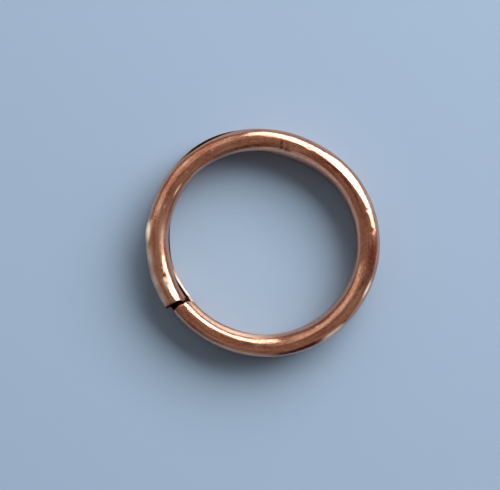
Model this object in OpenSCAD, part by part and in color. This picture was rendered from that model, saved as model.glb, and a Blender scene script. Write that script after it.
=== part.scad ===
// Split ring: one round copper wire wound through two flat turns, one above the other.
// Lies flat with its axis along Z, lowest points at z = 0. Millimetres, degrees.
// Angles run anticlockwise from +X seen from above. From its upper end the wire runs
// clockwise round the upper turn, drops through the step and runs clockwise again.

/* [Ring] */
// mean outside diameter of the ring
ring_od = 8; // [7.2:0.1:9.6]
// diameter of the round wire
wire_d = 0.77; // [0.6:0.01:0.92]
// air left between the upper and the lower turn
turn_gap = 0.02; // [0.012:0.002:0.06]
// how far out of round the ring is bent, as a share of its radius
oval = 0.036; // [0.02:0.002:0.044]
// direction of the oval's own X axis
oval_turn = 15; // [0:5:30]

/* [Step and ends] */
// where the crest of the step stands
step_at = 223; // [219:0.5:228]
// how far the wire travels round the ring while it drops
step_run = 0.21; // [0.16:0.01:0.3]
// bend radius of the sprung stretch before the upper end
sprung_r = 5.9; // [5:0.1:8]
// air between a cut end's ridge and the bend it faces
end_gap = 0.08; // [0.07:0.01:0.14]
// slant of the cut ends, inner side ahead
nip_slant = 10; // [4:1:12]
// how far each bevel of a nipped end leans back from its ridge
nip_lean = 13; // [8:1:18]

/* [Tool marks] */
// depth of the two long flats on the outer side next to the upper end
flat_depth = 0.03; // [0.015:0.001:0.036]
// depth of the two short flats on the lower right
small_flat_depth = 0.02; // [0.012:0.001:0.026]
// how far the gripped hump on the left stands out
hump_rise = 0.05; // [0.03:0.005:0.06]
// depth of the nick across the inner side near the upper end
nick_depth = 0.035; // [0.015:0.005:0.045]

/* [Hidden] */
wire_r = wire_d / 2;
mid_r = (ring_od - wire_d) / 2;
// The two tight bends of the step stand a hair proud of the wire, so they touch down first.
bend_proud = 0.004;
step_thinner = wire_r * 0.04;
bend_r = wire_r + bend_proud;
low_z = bend_r;
top_z = low_z + wire_d + turn_gap;
fine = 96;
round_n = 24;

// The outline is an oval of four tangent arcs that meet on its own X and Y axes.
// Radii are whole micrometres and arcs end on whole hundredths of a degree, so that
// they meet face to face.
function micro(x) = round(x * 1000) / 1000;
function centi(a) = round(a * 100) / 100;
flat_r = micro(mid_r * (1 + oval));
tight_r = micro(mid_r * (1 - oval));
offset_c = (flat_r - tight_r) / 2;
arc_a = [-90, 0, 90, 180];
// Each arc as its centre's x, its centre's y, its radius.
low_arcs = [
    [offset_c, offset_c, flat_r],
    [offset_c, -offset_c, tight_r],
    [-offset_c, -offset_c, flat_r],
    [-offset_c, offset_c, tight_r],
    [offset_c, offset_c, flat_r]
];
// The upper turn leaves the oval on its last stretch, which has sprung open.
sprung_arc = [sprung_r - tight_r - offset_c, offset_c, sprung_r];
top_arcs = [low_arcs[0], low_arcs[1], low_arcs[2], low_arcs[3], sprung_arc];

function arc_deg(size) = size / mid_r * 180 / PI;
function arc_at(arcs, a) = arcs[len([for (b = arc_a) if (a >= b) b])];
// The way the wire's outer side faces where it lies in direction a from the middle.
function facing(arcs, a) =
    let (k = arc_at(arcs, a)) a + asin((k[0] * sin(a) - k[1] * cos(a)) / k[2]);
// The point there, on the wire's centreline or out beyond it.
function spot(arcs, a, out = 0) =
    let (k = arc_at(arcs, a), f = facing(arcs, a))
    [k[0] + (k[2] + out) * cos(f), k[1] + (k[2] + out) * sin(f)];
// How far an arc with a wire of radius thick on it reaches in direction a.
function reach(k, a, thick = wire_r) = k[0] * cos(a) + k[1] * sin(a) + k[2] + thick;

// Directions from here on are counted from the oval's own X axis.
crest_a = step_at - oval_turn - 360;
dip_a = step_at - oval_turn - arc_deg(step_run);
// A cut end stops one wire radius and the end gap away from the bend it faces.
top_end_a = crest_a + 360 - arc_deg(wire_r + end_gap);
low_end_a = dip_a - 360 + arc_deg(wire_r + end_gap);
spare_a = arc_deg(wire_r * tan(nip_slant) + 0.01);
nip_len = end_gap + wire_r / 2;

flats = [[192, 24], [206, 24]];
small_flats = [[306, 44], [334, 52]];
// The hump is a thinner arc bent tighter than the turn, so only its middle shows.
hump_a = 175 - oval_turn;
hump_thick = wire_r * 0.65;
hump_bend_r = mid_r / 3;
hump_sweep = 26;
hump_in = hump_thick + hump_bend_r - hump_rise - wire_r;
hump_arc = concat(spot(top_arcs, hump_a, -hump_in), hump_bend_r);
nick_a = 200 - oval_turn;
nick_r = wire_r * 1.3;
nick_lift = 112;

// The outside box, so that the ring can be set down centred on the origin.
function reach_to(a) = reach(arc_at(top_arcs, a - oval_turn), a - oval_turn);
left_reach = max(reach_to(180), reach(hump_arc, 180 - oval_turn, hump_thick));
box_mid = [(reach_to(0) - left_reach) / 2, (reach_to(90) - reach_to(-90)) / 2, 0];

module arc(k, a0, a1, z, thick = wire_r)
    translate([k[0], k[1], z])
        rotate_extrude(angle = centi(a1) - centi(a0), start = centi(a0), $fn = fine)
            translate([k[2], 0])
                circle(thick, $fn = round_n);

// A round rod from point p to point q.
module rod(p, q, thick) {
    v = q - p;
    translate(p)
        rotate([0, acos(v[2] / norm(v)), atan2(v[1], v[0])])
            cylinder(h = norm(v), r = thick, $fn = round_n);
}

// Everything past a roof-shaped cut: a ridge at mid height, a bevel above and below.
// way is 1 for an end that faces anticlockwise, -1 for clockwise.
module past_nip(arcs, a, z, way)
    translate(concat(spot(arcs, a), z))
        rotate([0, 0, facing(arcs, a) - way * nip_slant])
            for (side = [1, -1])
                rotate([side * way * nip_lean, 0, 0])
                    translate([-wire_d, way > 0 ? 0 : -nip_len, -wire_d])
                        cube([2 * wire_d, nip_len, 2 * wire_d]);

// Material outside a flat tool mark that lies in direction a and is lifted by lift.
module past_flat(a, lift, depth) {
    own_a = a - oval_turn > 270 ? a - oval_turn - 360 : a - oval_turn;
    translate(concat(spot(top_arcs, own_a), top_z))
        rotate([0, -lift, facing(top_arcs, own_a)])
            translate([wire_r - depth, -wire_d, -wire_r])
                cube([wire_r, 2 * wire_d, wire_d]);
}

module top_turn()
    difference() {
        union() {
            arc(top_arcs[0], facing(top_arcs, crest_a), arc_a[0], top_z);
            for (i = [1 : 3])
                arc(top_arcs[i], arc_a[i - 1], arc_a[i], top_z);
            arc(top_arcs[4], arc_a[3], facing(top_arcs, top_end_a + spare_a), top_z);
            hump();
        }
        past_nip(top_arcs, top_end_a, top_z, 1);
        for (f = flats) past_flat(f[0], f[1], flat_depth);
        for (f = small_flats) past_flat(f[0], f[1], small_flat_depth);
        nick();
    }

module low_turn()
    difference() {
        union() {
            arc(low_arcs[0], facing(low_arcs, low_end_a - spare_a), arc_a[0], low_z);
            for (i = [1 : 3])
                arc(low_arcs[i], arc_a[i - 1], arc_a[i], low_z);
            arc(low_arcs[4], arc_a[3], facing(low_arcs, dip_a), low_z);
        }
        past_nip(low_arcs, low_end_a, low_z, -1);
    }

// The step: a steep rod between two tight bends, drawn a little thinner than the wire.
module step_down() {
    crest = concat(spot(top_arcs, crest_a), top_z);
    dip = concat(spot(low_arcs, dip_a), low_z);
    for (p = [crest, dip])
        translate(p) sphere(bend_r, $fn = round_n);
    rod(crest, dip, wire_r - step_thinner);
}

module hump()
    arc(hump_arc, hump_a - hump_sweep, hump_a + hump_sweep, top_z, hump_thick);

// The ball that leaves the nick: it dips nick_depth into the inner shoulder.
module nick()
    translate(concat(spot(top_arcs, nick_a), top_z))
        rotate([0, -nick_lift, facing(top_arcs, nick_a)])
            translate([wire_r + nick_r - nick_depth, 0, 0])
                sphere(nick_r, $fn = round_n);

module split_ring()
    color([0.72, 0.42, 0.3])
        translate(-box_mid)
            rotate([0, 0, oval_turn]) {
                top_turn();
                step_down();
                low_turn();
            }

split_ring();
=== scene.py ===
import math

import bpy
import numpy as np
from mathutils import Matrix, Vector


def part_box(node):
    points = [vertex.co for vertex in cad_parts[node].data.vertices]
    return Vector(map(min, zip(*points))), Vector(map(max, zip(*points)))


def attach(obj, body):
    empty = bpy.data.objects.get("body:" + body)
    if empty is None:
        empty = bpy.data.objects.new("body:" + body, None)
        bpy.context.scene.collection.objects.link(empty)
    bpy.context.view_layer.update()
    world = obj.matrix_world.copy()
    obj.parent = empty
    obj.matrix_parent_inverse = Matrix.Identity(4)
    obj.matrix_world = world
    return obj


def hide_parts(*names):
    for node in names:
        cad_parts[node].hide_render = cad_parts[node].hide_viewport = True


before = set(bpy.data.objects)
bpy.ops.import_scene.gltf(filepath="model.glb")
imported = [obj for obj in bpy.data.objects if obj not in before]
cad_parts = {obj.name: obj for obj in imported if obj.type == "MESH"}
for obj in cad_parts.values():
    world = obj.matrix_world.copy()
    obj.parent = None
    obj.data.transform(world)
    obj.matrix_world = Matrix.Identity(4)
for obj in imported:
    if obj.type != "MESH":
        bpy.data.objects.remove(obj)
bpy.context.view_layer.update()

# Everything below is worked out in millimetres and written to Blender in metres.
# Directions are degrees anticlockwise from +X seen from above.
MM = 0.001
PX = 1 / 28.93  # one picture point of the photo, in millimetres
# As in the CAD model: the wire's radius and the heights of the two turns' middles.
WIRE_R = 0.385
LOW_Z, TOP_Z = 0.389, 1.179
AROUND = 64  # points round the wire
# The photo was measured round this point of the ring.
HUB = np.array([1.2, 0.0]) * PX

rng = np.random.default_rng(7)

# ---------------------------------------------------------------- the wire's path


def unit(a):
    """Unit vectors that point in the directions a, in degrees."""
    a = np.radians(a)
    return np.stack([np.cos(a), np.sin(a)], -1)


# The two turns as distances of the wire's middle from the hub, in picture points: the
# upper one from the step round to its cut end, the lower one from its cut end to the step.
TOP_AT = [-140, -105, -80, -60, -45, -12, 12, 40, 62, 80, 103, 122, 145, 180, 200, 217]
TOP_R = [
    103.2, 103.5, 105.0, 105.6, 105.5, 105.0, 104.4, 103.2,
    101.9, 102.6, 104.9, 106.5, 107.3, 106.6, 107.2, 107.5,
]
LOW_AT = [-140, -105, -75, -45, -12, 12, 40, 62, 80, 100, 115, 130, 147, 165, 180, 200, 212, 222]
LOW_R = [
    105.2, 105.4, 105.4, 105.3, 104.8, 103.8, 102.0, 100.5, 101.6,
    105.3, 108.0, 108.4, 107.7, 107.3, 105.9, 105.0, 103.6, 103.0,
]


def smooth_curve(knots, values, at):
    """A natural cubic curve through a few measured points, read off at the given places."""
    knots, values = np.array(knots, float), np.array(values, float)
    h, count = np.diff(knots), len(knots)
    system, right = np.eye(count), np.zeros(count)
    for i in range(1, count - 1):
        system[i, i - 1 : i + 2] = h[i - 1], 2 * (h[i - 1] + h[i]), h[i]
        right[i] = 6 * ((values[i + 1] - values[i]) / h[i] - (values[i] - values[i - 1]) / h[i - 1])
    bend = np.linalg.solve(system, right)
    i = np.clip(np.searchsorted(knots, at) - 1, 0, count - 2)
    left, rest = at - knots[i], knots[i + 1] - at
    cubes = (bend[i] * rest**3 + bend[i + 1] * left**3) / (6 * h[i])
    from_left = values[i] / h[i] - bend[i] * h[i] / 6
    from_right = values[i + 1] / h[i] - bend[i + 1] * h[i] / 6
    return cubes + (from_left * rest + from_right * left)


def turn(knots, values, at, z):
    """Points of a turn in the given directions, at height z."""
    r = smooth_curve(knots, values, at) * PX
    return np.column_stack([HUB + r[:, None] * unit(at), np.full(len(at), z)])


def polar(points):
    """Direction of points seen from the hub, in degrees from 0 to 360."""
    off = points[..., :2] - HUB
    return np.degrees(np.arctan2(off[..., 1], off[..., 0])) % 360


# Directions of the step's crest, of the upper cut end and of the lower one.
CREST_AT, END_AT, LOW_END_AT = -139.0, 215.4, -136.9
# The wire runs this far round while it drops, and is ringed closely for a while after it.
MID_R, STEP_RUN, NEAR_RUN = 3.6, 0.21, 1.2
DIP_AT = CREST_AT + 360 - math.degrees(STEP_RUN / MID_R)

# Rings of the skin on the upper turn, on the drop, just after it and on the rest.
N_TOP, N_DROP, N_NEAR, N_LOW = 930, 26, 40, 360
top_at = np.linspace(END_AT, CREST_AT, N_TOP)
near = DIP_AT - math.degrees(NEAR_RUN / MID_R)
low_at = np.concatenate(
    [np.linspace(DIP_AT, near, N_NEAR)[:-1], np.linspace(near, LOW_END_AT, N_LOW)]
)
top_mid = turn(TOP_AT, TOP_R, top_at, TOP_Z)
low_mid = turn(LOW_AT, LOW_R, low_at, LOW_Z)
drop_share = np.linspace(0, 1, N_DROP + 2)[1:-1, None]
drop_mid = top_mid[-1] * (1 - drop_share) + low_mid[0] * drop_share
mid = np.vstack([top_mid, drop_mid, low_mid])
# Direction of each ring, which jumps a whole turn at the step: 215 to -139, 221 to -137.
at_deg = np.concatenate([top_at, np.linspace(CREST_AT + 360, DIP_AT, N_DROP), low_at])
index = np.arange(len(mid))
on_top, on_low = index < N_TOP, index >= N_TOP + N_DROP
in_drop = ~on_top & ~on_low


def level_way(points):
    """Unit vectors along a level run of points."""
    way = np.gradient(points, axis=0)
    return way / np.linalg.norm(way, axis=1, keepdims=True)


top_way, low_way = level_way(top_mid), level_way(low_mid)
drop_way = top_way[-1] * (1 - drop_share) + low_way[0] * drop_share
onward = np.vstack([top_way, drop_way / np.linalg.norm(drop_way, axis=1, keepdims=True), low_way])
outward = np.column_stack([-onward[:, 1], onward[:, 0], np.zeros(len(mid))])
up = np.array([0.0, 0.0, 1.0])

# Length travelled along the wire, and its distance from the step's two bends.
step = np.linalg.norm(np.diff(mid, axis=0), axis=1)
travel = np.concatenate([[0], np.cumsum(step)])
to_crest = np.abs(travel - travel[N_TOP - 1])
to_dip = np.abs(travel - travel[N_TOP + N_DROP])

# ---------------------------------------------------------------- the wire's skin

# Reach of the bends past their middle, in picture points, and the length over which it
# fades in, in millimetres.
NOSE, ZONE = 8.2, 0.9

psi = np.arange(AROUND) * 2 * np.pi / AROUND  # 0 outer side, 90 crown, 180 inner side
side, height = np.cos(psi), np.sin(psi)
skin = mid[:, None] + WIRE_R * (side[:, None] * outward[:, None] + height[:, None] * up)

# How much of that reach each line of the skin has: a square corner on the outer side, a
# small step back past the middle and a slant on the inner side, as the crest shows.
SQUARE_FROM = 0.1
squared = 1 - np.abs((side - SQUARE_FROM) / (1 - SQUARE_FROM)) ** 14
small_step = 0.18 * np.clip((SQUARE_FROM - side) / 0.3, 0, 1)
slant = 0.7 * np.clip((-0.45 - side) / 0.55, 0, 1) ** 1.6
corner = np.where(side > SQUARE_FROM, squared, 1 - (small_step + slant))
nose = NOSE * PX * corner * np.sign(np.round(height, 6))
fade_crest = np.clip(1 - to_crest / ZONE, 0, 1)
fade_dip = np.clip(1 - to_dip / ZONE, 0, 1)
share = np.where(on_top, fade_crest, np.where(on_low, fade_dip, 1.0))
skin += (share[:, None] * nose)[..., None] * onward[:, None]


# The blur round the step sets in and ends over this many rings.
SOFT_RINGS = 12


def smoothed(rows, margin, width):
    """The rows blurred along the wire by a Gaussian, from margin rings before the step on.

    The blur ends margin rings after the step; width is the Gaussian's, counted in rings.
    """
    first, last = N_TOP - margin, N_TOP + N_DROP + margin
    reach = int(4 * width)
    weights = np.exp(-0.5 * (np.arange(-reach, reach + 1) / width) ** 2)
    weights /= weights.sum()
    blurred = sum(w * np.roll(rows, k - reach, axis=0) for k, w in enumerate(weights))
    set_in = np.clip((index - first) / SOFT_RINGS, 0, 1)
    share = set_in * np.clip((last - index) / SOFT_RINGS, 0, 1)
    return rows + share[:, None, None] * (blurred - rows)


# The crest's top stays crisp; the rest of the fold is rounder.
crisp = smoothed(skin, margin=30, width=2.4)
round_fold = smoothed(skin, margin=45, width=6.0)
keep_crisp = np.clip((N_TOP + 9 - index) / 6, 0, 1)[:, None] * np.clip(height / 0.15, 0, 1)
skin = round_fold + keep_crisp[..., None] * (crisp - round_fold)

radial = side[:, None] * outward[:, None] + height[:, None] * up
seen = polar(skin)
out_px = np.linalg.norm(skin[..., :2] - HUB, axis=-1) / PX
upper = on_top[:, None] & (height[None] > -0.2)


def gap_deg(a, b):
    """Smallest signed turn from b to a, in degrees."""
    return (a - b + 180) % 360 - 180


def patch(at, half_deg, r, half_px, power=2.0):
    """1 at a spot of the upper turn's skin, given as the photo shows it, and less round it.

    It is e to the power of -0.7 times the sum of two distances, one along the ring and one
    across it, each as a share of the spot's half size and raised to power.
    """
    along, across = np.abs(gap_deg(seen, at)) / half_deg, np.abs(out_px - r) / half_px
    far = along**power + across**power
    return np.where(upper, np.exp(-0.7 * far), 0.0)


def swell(at, half_deg, lift, half_lift):
    """1 at a spot given by direction and by lift round the wire, 90 being the crown.

    It falls off like patch, with power 2 and with the lift for the distance across.
    """
    turn_off = (np.degrees(psi)[None] - lift + 180) % 360 - 180
    far = (gap_deg(seen, at) / half_deg) ** 2 + (turn_off / half_lift) ** 2
    return np.where(on_top[:, None], np.exp(-0.7 * far), 0.0)


# Raised and sunk marks, in millimetres along the skin's own outward direction.
# First the hump that a tool has gripped.
hump = swell(175, 4.6, 33, 16)
rise = 0.085 * hump
# Squeezed a little narrower on the upper left.
squeezed = np.where(on_top, np.exp(-((gap_deg(polar(mid), 143) / 20) ** 4)), 0)
rise -= 0.015 * squeezed[:, None] * side**2
# A dent and two fuller stretches: rise, direction, half length, lift and half lift in degrees.
for high, at, half_deg, lift, half_lift in [
    (-0.020, 200.5, 2.4, 108, 13),
    (0.022, 17, 13, 48, 22),
    (0.016, 76, 16, 48, 22),
]:
    rise += high * swell(at, half_deg, lift, half_lift)
# The lower bend of the step is squashed outwards.
squash = np.where(on_top, 0, np.exp(-(((at_deg - 216.9) / 1.8) ** 2)))
rise += 0.04 * squash[:, None] * np.clip((side - 0.1) / 0.6, 0, 1)
# Pits: depth, direction, half length in degrees, distance from the hub and half width in
# picture points.
for depth, at, half_deg, r, half_px in [
    (0.010, 17.5, 0.9, 108, 1.6),
    (0.010, 6, 1.0, 107, 1.6),
    (0.008, 64.5, 1.5, 105, 1.4),
    (0.010, 75.7, 1.7, 96.5, 1.4),
    (0.010, 80.5, 1.2, 96.5, 1.4),
    (0.008, 79.5, 1.6, 101, 1.2),
]:
    rise -= depth * patch(at, half_deg, r, half_px)
# Hand-bent wire is never quite even: long shallow waves, mostly along the wire.
WAVES, WAVE_HEIGHT = 26, 0.0011
for _ in range(WAVES):
    k_along, k_round = rng.uniform(0.25, 2.6), rng.integers(1, 6)
    phase = rng.uniform(0, 2 * np.pi)
    rise += WAVE_HEIGHT * np.sin(k_along * travel[:, None] + k_round * psi[None] + phase)
skin += rise[..., None] * radial

# No plier flat reaches further than this from its middle, in degrees.
FLAT_REACH = 16


def pressed_flat(rows, at, lift, depth, width=0.006):
    """The skin pushed back to a plane, as pliers leave it, with a slightly soft edge.

    A point that stands a distance over the plane goes back by width times the logarithm
    of 1 plus e to the power of that distance over width.
    """
    off = np.abs(gap_deg(polar(mid), at))
    ring = int(np.argmin(np.where(on_top, off, 360)))
    a = math.radians(lift)
    out = math.cos(a) * outward[ring] + math.sin(a) * up
    over = (rows - mid[ring]) @ out - (WIRE_R - depth)
    near_by = np.where(on_top & (off < FLAT_REACH), 1.0, 0.0)[:, None]
    back = near_by * width * np.logaddexp(0, over / width)
    return rows - back[..., None] * out


def shaved(rows, share, lift, depth, width=0.004):
    """The skin cut back to a chord of the wire's round, as far as each ring's share says.

    The edge is soft in the way of pressed_flat.
    """
    a = math.radians(lift)
    out = math.cos(a) * outward + math.sin(a) * up
    over = WIRE_R * np.cos(psi - a) - (WIRE_R - depth)
    back = share[:, None] * width * np.logaddexp(0, over / width)
    return rows - back[..., None] * out[:, None]


# The lower turn's inner shoulder is rubbed flat where it peeps out beside the cut end.
peeping = on_low * np.clip((at_deg - 196) / 9, 0, 1)
skin = shaved(skin, peeping, 120, 0.06)

# The upper turn's shoulders are rubbed a little flat, which widens the light on them:
# direction, half length, lift in degrees, depth.
for at, half_deg, lift, depth in [(40, 13, 61, 0.020), (208, 6, 112, 0.012), (240, 26, 136, 0.022)]:
    worn = on_top * np.exp(-((gap_deg(polar(mid), at) / half_deg) ** 4))
    skin = shaved(skin, worn, lift, depth, 0.003)

# Plier flats: direction, lift round the wire in degrees, depth.
for at, lift, depth in [
    (192, 24, 0.030),
    (206, 24, 0.030),
    (306, 40, 0.020),
    (334, 50, 0.020),
]:
    skin = pressed_flat(skin, at, lift, depth)

# ---------------------------------------------------------------- the nipped ends

# Slopes of the roof-shaped cut's bevels and of its slant, and the length that follows them.
ROOF, NIP_SLANT, END_ZONE = 0.23, 0.18, 0.35
# How far the upper end's tip is drawn out.
POINT_REACH = 2.2 * PX
# The rings that close an end, as shares of its own size, and how far the end bulges.
CAP_SHARES = np.array([0.975, 0.9, 0.72, 0.5, 0.27])
CAP_BULGE = 0.006


def ends(rows):
    """The skin with both ends shaped, and the rings that close them.

    A cut end falls back from its ridge by ROOF times the height over or under it, and
    leans by NIP_SLANT times the way out to the side. Both fade out along END_ZONE.
    """
    fade = np.clip(1 - travel / END_ZONE, 0, 1)[:, None]
    reach = -NIP_SLANT * WIRE_R * side - ROOF * WIRE_R * np.abs(height)
    # The upper end is drawn out to a point beside the crest's inner corner.
    point = np.exp(-(((side + 0.78) / 0.17) ** 2)) - 1.5 * np.clip((-0.88 - side) / 0.12, 0, 1)
    reach = reach + POINT_REACH * point * np.clip(height / 0.2, 0, 1)
    rows = rows - (fade * reach)[..., None] * onward[:, None]
    fade = np.clip(1 - (travel[-1] - travel) / END_ZONE, 0, 1)[:, None]
    reach = NIP_SLANT * WIRE_R * side - ROOF * WIRE_R * np.abs(height)
    rows = rows + (fade * reach)[..., None] * onward[:, None]
    caps = []
    for ring, way in ((0, -1), (-1, 1)):
        tip = mid[ring]
        inner = CAP_SHARES[:, None, None] * (rows[ring] - tip)
        caps.append(tip + inner + CAP_BULGE * way * onward[ring])
    return rows, caps


skin, (cap_top, cap_low) = ends(skin)
rings = np.concatenate([cap_top[::-1], skin, cap_low])
tips = np.array([mid[0] - CAP_BULGE * onward[0], mid[-1] + CAP_BULGE * onward[-1]])

# ---------------------------------------------------------------- the mesh


def tube_faces(count, around, first_tip, last_tip):
    """Quads between rings of a closed tube and triangles from its end rings to two tips."""
    i, j = np.meshgrid(np.arange(count - 1), np.arange(around), indexing="ij")
    nxt = (j + 1) % around
    here, ahead = i * around, (i + 1) * around
    quads = np.stack([here + j, here + nxt, ahead + nxt, ahead + j], -1)
    ring = np.arange(around)
    far = (ring + 1) % around
    start = np.stack([far, ring, np.full(around, first_tip)], -1)
    base = (count - 1) * around
    stop = np.stack([base + ring, base + far, np.full(around, last_tip)], -1)
    return quads.reshape(-1, 4), np.concatenate([start, stop])


verts = np.concatenate([rings.reshape(-1, 3), tips])
# The ring fills the CAD node's box and no more.
low_corner, high_corner = np.array(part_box("split_ring")) / MM
own_low, own_high = verts.min(0), verts.max(0)
verts = low_corner + (verts - own_low) * (high_corner - low_corner) / (own_high - own_low)
quads, tris = tube_faces(len(rings), AROUND, len(verts) - 2, len(verts) - 1)

mesh = bpy.data.meshes.new("split_ring_wire")
mesh.vertices.add(len(verts))
mesh.vertices.foreach_set("co", (verts * MM).astype(np.float32).ravel())
loops = np.concatenate([quads.ravel(), tris.ravel()]).astype(np.int32)
counts = np.concatenate([np.full(len(quads), 4), np.full(len(tris), 3)])
mesh.loops.add(len(loops))
mesh.loops.foreach_set("vertex_index", loops)
mesh.polygons.add(len(counts))
mesh.polygons.foreach_set("loop_start", (np.cumsum(counts) - counts).astype(np.int32))
mesh.update(calc_edges=True)
mesh.validate()
mesh.polygons.foreach_set("use_smooth", np.ones(len(mesh.polygons), bool))


def point_value(name, rows, kind="FLOAT", cap=None):
    """Writes one value per point to the mesh. The ends take cap, or else the nearest ring's."""
    pad = len(cap_top)
    first, last = rows[:1].repeat(pad, 0), rows[-1:].repeat(pad, 0)
    if cap is not None:
        first, last = np.full_like(first, cap), np.full_like(last, cap)
    full = np.concatenate([first, rows, last])
    at_tips = full[[0, -1], 0]
    full = np.concatenate([full.reshape(len(rings) * AROUND, -1), at_tips.reshape(2, -1)])
    layer = mesh.attributes.new(name, kind, "POINT")
    field = "vector" if kind == "FLOAT_VECTOR" else "value"
    layer.data.foreach_set(field, full.astype(np.float32).ravel())


wire_coords = np.stack(np.broadcast_arrays(travel[:, None], side[None], height[None]), -1)
point_value("grain", wire_coords, "FLOAT_VECTOR")

# Marks as the photo shows them: direction, half length in degrees, distance from the hub
# and half width in picture points, sharpness of the edge, strength.
# Dark tarnish, pits and streaks; the marks at 52 and 100 degrees on the inner flank and at 225 and
# 288 degrees on the outer rim are painted shade.
DARK = [
    (198.5, 0.8, 104.4, 1.7, 3, 1.0),
    (17.5, 0.8, 108.3, 1.3, 2, 0.5),
    (6, 1.0, 107, 1.5, 2, 0.5),
    (64.5, 1.5, 105, 0.9, 2, 0.6),
    (80.1, 0.8, 101.2, 2.6, 2, 1.0),
    (79.8, 1.3, 97.0, 2.0, 3, 1.0),
    (76.6, 1.3, 96.0, 1.6, 3, 1.0),
    (74.6, 1.0, 95.6, 1.2, 3, 0.9),
    (61, 9, 102.6, 0.6, 4, 0.6),
    (261.5, 4.0, 103.4, 1.8, 2, 0.9),
    (269.5, 2.2, 104.4, 1.6, 2, 0.8),
    (288, 13, 113.2, 1.7, 6, 1.0),
    (203.0, 2.8, 104.5, 3.4, 3, 0.65),
    (302, 33, 105.2, 0.8, 4, 0.7),
    (40, 24, 102.2, 1.3, 4, 0.9),
    (52, 14, 97, 0.9, 4, 0.6),
    (347, 15, 108.5, 3.6, 4, 0.8),
    (315.5, 2.0, 112.6, 1.2, 2, 0.8),
    (100, 22, 98, 2.2, 4, 0.8),
    (225, 30, 110.5, 1.3, 6, 0.5),
    (140, 34, 103.2, 2.0, 6, 0.5),
    (22, 12, 105.2, 1.2, 2, 0.6),
]
# Painted reflections and glints: pale, less metallic spots where the metal mirrors lit paper or the
# light; the patch over the dent at 203 degrees is also a rough rubbed spot.
PALE = [
    (203.0, 2.6, 104.5, 3.2, 3, 0.5),
    (176.5, 8.0, 101.5, 2.4, 2, 0.35),
    (208.5, 3.8, 116.2, 2.5, 2, 0.75),
    (199.8, 4.4, 116.0, 2.6, 2, 0.8),
    (187.0, 4.6, 115.4, 2.4, 2, 0.75),
    (335.5, 4.2, 113.3, 0.9, 3, 0.9),
    (307.5, 6.2, 114.0, 1.4, 4, 0.7),
    (246, 28, 95.0, 1.5, 4, 0.45),
    (148.5, 3.2, 101.0, 0.5, 3, 0.8),
    (137.4, 0.4, 104.2, 0.5, 2, 0.4),
    (119, 0.4, 106.2, 0.5, 2, 0.4),
    (160, 1.0, 105.2, 0.6, 2, 0.4),
    (152.5, 0.4, 112, 0.5, 2, 0.4),
    (301.8, 0.6, 99.4, 0.6, 2, 0.4),
    (134.5, 2.0, 111.4, 0.6, 2, 0.4),
    (21, 3, 110.5, 1.6, 2, 0.3),
    (55, 56, 94.6, 1.6, 4, 0.4),
]
# Painted shade: dark lines along the outer rim, at the upper left and the lower right.
SHADED_RIMS = [
    (116.5, 19, 117.2, 1.8, 3, 1.0),
    (291, 8, 113.2, 1.2, 4, 0.6),
]


def painted(marks):
    """The strongest mark at each point of the skin."""
    return np.max([strength * patch(*place) for *place, strength in marks], axis=0)


dark, pale = painted(DARK), painted(PALE)

# Painted shade: the crevice between the turns, the step and its gap are painted near black.
before_step = np.clip(1 - (travel[N_TOP - 1] - travel) / 0.03, 0, 1)
after_step = np.clip(1 - (travel - travel[N_TOP + N_DROP]) / 0.12, 0, 1)
off_inner = np.clip((side + 0.88) / 0.04, 0, 1)
crevice = np.clip((np.where(on_low[:, None], height, -height) - 0.86) / 0.1, 0, 1)
crevice = np.where(in_drop[:, None], 0.0, crevice)
painted_shade = np.maximum(crevice, painted(SHADED_RIMS) * np.clip((height + 0.2) / 0.3, 0, 1))
# Under the sprung end the crevice gapes towards the middle, and its painted shade widens to a
# wedge.
gape = on_low * np.clip((at_deg - 192) / 24, 0, 1)
wedge_from = 0.86 - 0.5 * np.sqrt(gape)[:, None] * np.clip((0.5 - side) / 0.4, 0.1, 1)
wedge = np.clip((height - wedge_from) / 0.12, 0, 1) * off_inner * (gape > 0)[:, None]
painted_shade = np.maximum(painted_shade, wedge)


def shy(first, last, fade, half):
    """A line of painted shade, of the given half height, tapered at both ends, where the lower turn
    peeps out.
    """
    taper = on_low * np.clip((at_deg - first) / fade, 0, 1) * np.clip((last - at_deg) / fade, 0, 1)
    return np.clip((half * taper[:, None] - np.abs(height - 0.28)) / 0.2, 0, 1)


painted_shade = np.maximum(painted_shade, shy(150, 206, 22, 0.3) * (side < 0))
painted_shade = np.maximum(painted_shade, shy(86, 144, 20, 0.34) * (side > 0))
off_outer = np.clip((0.93 - side) / 0.06, 0, 1) * np.clip((height + 0.1) / 0.2, 0, 1)
painted_shade = np.maximum(painted_shade, (before_step * after_step)[:, None] * off_inner * off_outer)
# Painted highlight: the rubbed shoulder beside the cut end, and half as much the drop, are painted
# pale and bright.
shoulder_glint = np.maximum(peeping, 0.5 * in_drop)[:, None] * (1 - off_inner)
shoulder_glint = shoulder_glint * np.clip((height + 0.1) / 0.25, 0, 1)
pale = np.maximum(pale * np.clip((height - 0.05) / 0.35, 0, 1), shoulder_glint)
# Painted reflection: the gripped hump is painted cream.
pale = np.maximum(pale, np.clip(hump * 3 - 0.5, 0, 1))
# Painted shade: the upper cut edge is painted dark brown.
dark = np.maximum(dark, 0.8 * np.clip(1 - (travel - 0.02) / 0.05, 0, 1)[:, None])
# The cut ends' faces are painted black as well, as painted shade.
point_value("painted_shade", painted_shade[..., None], cap=1.0)
# Painted reflection: the wire's sides are greyed towards the tone of the mirrored paper.
sideways = np.clip((np.abs(side) - 0.62) / 0.22, 0, 1)
point_value("flank", np.broadcast_to(sideways, painted_shade.shape)[..., None])
point_value("dark", np.clip(dark, 0, 1)[..., None])
point_value("pale", np.clip(pale, 0, 1)[..., None])

wire = bpy.data.objects.new("split_ring_wire", mesh)
bpy.context.scene.collection.objects.link(wire)
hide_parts("split_ring")
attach(wire, "root")

# ---------------------------------------------------------------- materials


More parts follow.
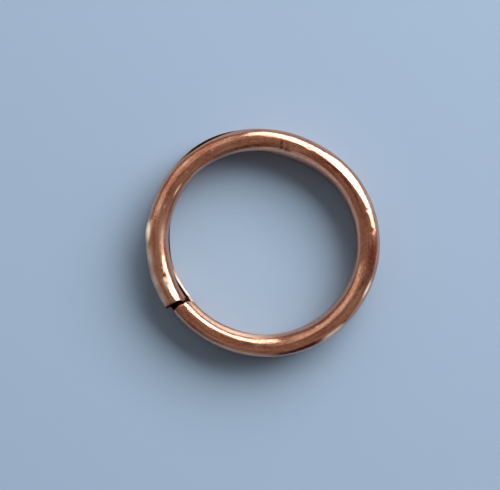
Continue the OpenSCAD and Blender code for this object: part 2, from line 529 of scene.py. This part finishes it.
class Value:
    """A shader socket to reckon with: a * b + c makes the Math nodes in the current tree."""

    tree = None

    def __init__(self, socket):
        self.socket = socket

    @classmethod
    def node(cls, kind, settings=None, inputs=None):
        """Adds one node: its settings first, then its inputs by name or number."""
        made = cls.tree.nodes.new(kind)
        for name, value in (settings or {}).items():
            setattr(made, name, value)
        for name, value in (inputs or {}).items():
            if isinstance(value, cls):
                cls.tree.links.new(value.socket, made.inputs[name])
            else:
                made.inputs[name].default_value = value
        return made

    @classmethod
    def maths(cls, operation, *values, clamp=False):
        """The result of one Math node on values or numbers."""
        settings = {"operation": operation, "use_clamp": clamp}
        return cls(cls.node("ShaderNodeMath", settings, dict(enumerate(values))).outputs[0])

    def __add__(self, other):
        return self.maths("ADD", self, other)

    __radd__ = __add__

    def __sub__(self, other):
        return self.maths("SUBTRACT", self, other)

    def __rsub__(self, other):
        return self.maths("SUBTRACT", other, self)

    def __mul__(self, other):
        return self.maths("MULTIPLY", self, other)

    __rmul__ = __mul__

    def clip(self):
        """The value held between 0 and 1."""
        return self.maths("ADD", self, 0.0, clamp=True)


def srgb(*levels):
    """A colour given in picture levels from 0 to 255, as Blender's linear colour."""
    c = np.array(levels) / 255
    linear = np.where(c <= 0.04045, c / 12.92, ((c + 0.055) / 1.055) ** 2.4)
    return (*[float(v) for v in linear], 1.0)


def attribute(name, output="Fac"):
    """What a point attribute of the mesh is on the surface."""
    made = Value.node("ShaderNodeAttribute", {"attribute_name": name})
    return Value(made.outputs[output])


def stretched(vector, scale):
    """The vector with each of its parts multiplied."""
    made = Value.node("ShaderNodeVectorMath", {"operation": "MULTIPLY"}, {0: vector, 1: scale})
    return Value(made.outputs[0])


def noise(vector, detail=3.0):
    """Noise round 0.5, at the scale that the vector already has."""
    inputs = {"Vector": vector, "Scale": 1.0, "Detail": detail, "Roughness": 0.6}
    return Value(Value.node("ShaderNodeTexNoise", None, inputs).outputs[0])


def blend(share, first, second):
    """Colour that goes from first to second as share goes from 0 to 1."""
    made = Value.node("ShaderNodeMix", {"data_type": "RGBA"}, {0: share, 6: first, 7: second})
    return Value(made.outputs[2])


def material(name):
    """A new material with a Principled node; its tree becomes the current one."""
    made = bpy.data.materials.new(name)
    made.use_nodes = True
    Value.tree = made.node_tree
    return made, made.node_tree.nodes["Principled BSDF"]


def feed(node, **inputs):
    """Links or sets a node's inputs; an underscore in a name stands for a space."""
    for name, value in inputs.items():
        socket = node.inputs[name.replace("_", " ")]
        if isinstance(value, Value):
            Value.tree.links.new(value.socket, socket)
        else:
            socket.default_value = value


copper, skin_node = material("copper")
# The grain runs along the wire: its parts are travel, side and height.
grain = attribute("grain", "Vector")
streaks = noise(stretched(grain, (0.8, 7.0, 7.0)), 4.0)
fine = noise(stretched(grain, (5.0, 28.0, 28.0)))
blotch = noise(stretched(grain, (0.8, 1.5, 1.5)))
spots = noise(stretched(grain, (11.0, 4.4, 4.4)))

# Copper bright and tarnished; a grey and a cream for painted reflections and a rubbed spot; a brown
# for stains and painted shade; a black for painted shade.
BRIGHT, TARNISHED = srgb(248, 194, 163), srgb(194, 114, 88)
FLANK_SHEEN_GREY, SHEEN_AND_SCUFF_CREAM = srgb(196, 158, 142), srgb(252, 234, 214)
STAIN_AND_SHADE_BROWN, SHADE_BLACK = srgb(84, 30, 22), srgb(34, 8, 6)

tarnish = (streaks - 0.5) * 1.7 + (blotch - 0.5) * 2.2 + (spots - 0.5) * 1.5 + (fine - 0.5)
tarnish = (tarnish + 0.42).clip()
stain_and_shade = (attribute("dark") * (0.45 + spots)).clip()
base = blend(tarnish, BRIGHT, TARNISHED)
light = (attribute("pale") * (1.0 + (spots - 0.5) * 1.6)).clip()
flank = attribute("flank")
# Painted reflection on the sides of the wire.
base = blend(flank * 0.45, base, FLANK_SHEEN_GREY)
# The pale marks: painted reflections and glints, and a rubbed spot.
base = blend(light, base, SHEEN_AND_SCUFF_CREAM)
# Dark marks: stains, and in places painted shade.
base = blend(stain_and_shade, base, STAIN_AND_SHADE_BROWN)
# Painted shade: the copper turns black, dull and unmetallic where the painted shade is.
painted_black = (attribute("painted_shade") * 1.5 - (1.0 - spots) * 0.5).clip()
base = blend(painted_black, base, SHADE_BLACK)
roughness = 0.10 + painted_black * 0.6 + tarnish * 0.07 + (fine - 0.5) * 0.10
roughness = (roughness + flank * 0.16 + light * 0.25).clip()
feed(
    skin_node,
    Base_Color=base,
    Metallic=(1.0 - light - stain_and_shade * 0.3 - painted_black).clip(),
    Specular_IOR_Level=0.02,
    Roughness=roughness,
)
height_map = fine * 0.5 + streaks * 0.9 + (spots - 0.5) * 0.25
relief = {"Strength": 0.22, "Distance": 0.02 * MM, "Height": height_map}
bump = Value.node("ShaderNodeBump", None, relief)
feed(skin_node, Normal=Value(bump.outputs[0]))
mesh.materials.append(copper)

# ---------------------------------------------------------------- floor, light, camera

paper, paper_node = material("paper")
feed(paper_node, Base_Color=srgb(155, 176, 199), Roughness=0.95, Specular_IOR_Level=0.1)
bpy.ops.mesh.primitive_plane_add(size=1.2, location=(0, 0, 0))
floor = bpy.context.object
floor.name = "floor"
floor.data.materials.append(paper)

world = bpy.data.worlds.new("room")
bpy.context.scene.world = world
world.use_nodes = True
Value.tree = world.node_tree
# The metal mirrors the pale, warm ceiling. The paper gets less of its light, and cooler.
glossy = Value(Value.node("ShaderNodeLightPath").outputs["Is Glossy Ray"])
room_light = blend(glossy, srgb(158, 156, 156), srgb(150, 134, 126))
feed(world.node_tree.nodes["Background"], Color=room_light, Strength=0.42 + glossy * 0.36)


def window(direction, near, half_width, bottom, top, radiance):
    """An upright soft light like a window, near millimetres away, that faces the ring."""
    data = bpy.data.lights.new("window", "AREA")
    data.shape = "RECTANGLE"
    data.size, data.size_y = 2 * half_width * MM, (top - bottom) * MM
    data.energy = radiance * math.pi * data.size * data.size_y
    lamp = bpy.data.objects.new("window", data)
    bpy.context.scene.collection.objects.link(lamp)
    a = math.radians(direction)
    lamp.location = np.array([near * math.cos(a), near * math.sin(a), (bottom + top) / 2]) * MM
    lamp.rotation_euler = (math.pi / 2, 0, a + math.pi / 2)


# A broad light with a stronger core, and a tall dim one that lights the upper left.
window(50, 100, 97, 40, 175, 3.2)
window(47, 98, 50, 40, 175, 4.3)
window(135, 150, 90, 60, 640, 0.42)

# The camera looks straight down. The photo is 500 picture points wide, and its middle
# shows this place of the ring's frame.
FRAME_WIDTH = 500 * PX
MIDDLE = np.array([-12.8, -2.0]) * PX
SENSOR, LENS = 36, 150
cam_data = bpy.data.cameras.new("camera")
cam_data.sensor_width, cam_data.lens = SENSOR, LENS
camera = bpy.data.objects.new("camera", cam_data)
bpy.context.scene.collection.objects.link(camera)
camera.location = np.array([*MIDDLE, TOP_Z + FRAME_WIDTH * LENS / SENSOR]) * MM
cam_data.clip_start, cam_data.clip_end = 0.001, 10
bpy.context.scene.camera = camera
bpy.context.scene.view_settings.view_transform = "Standard"
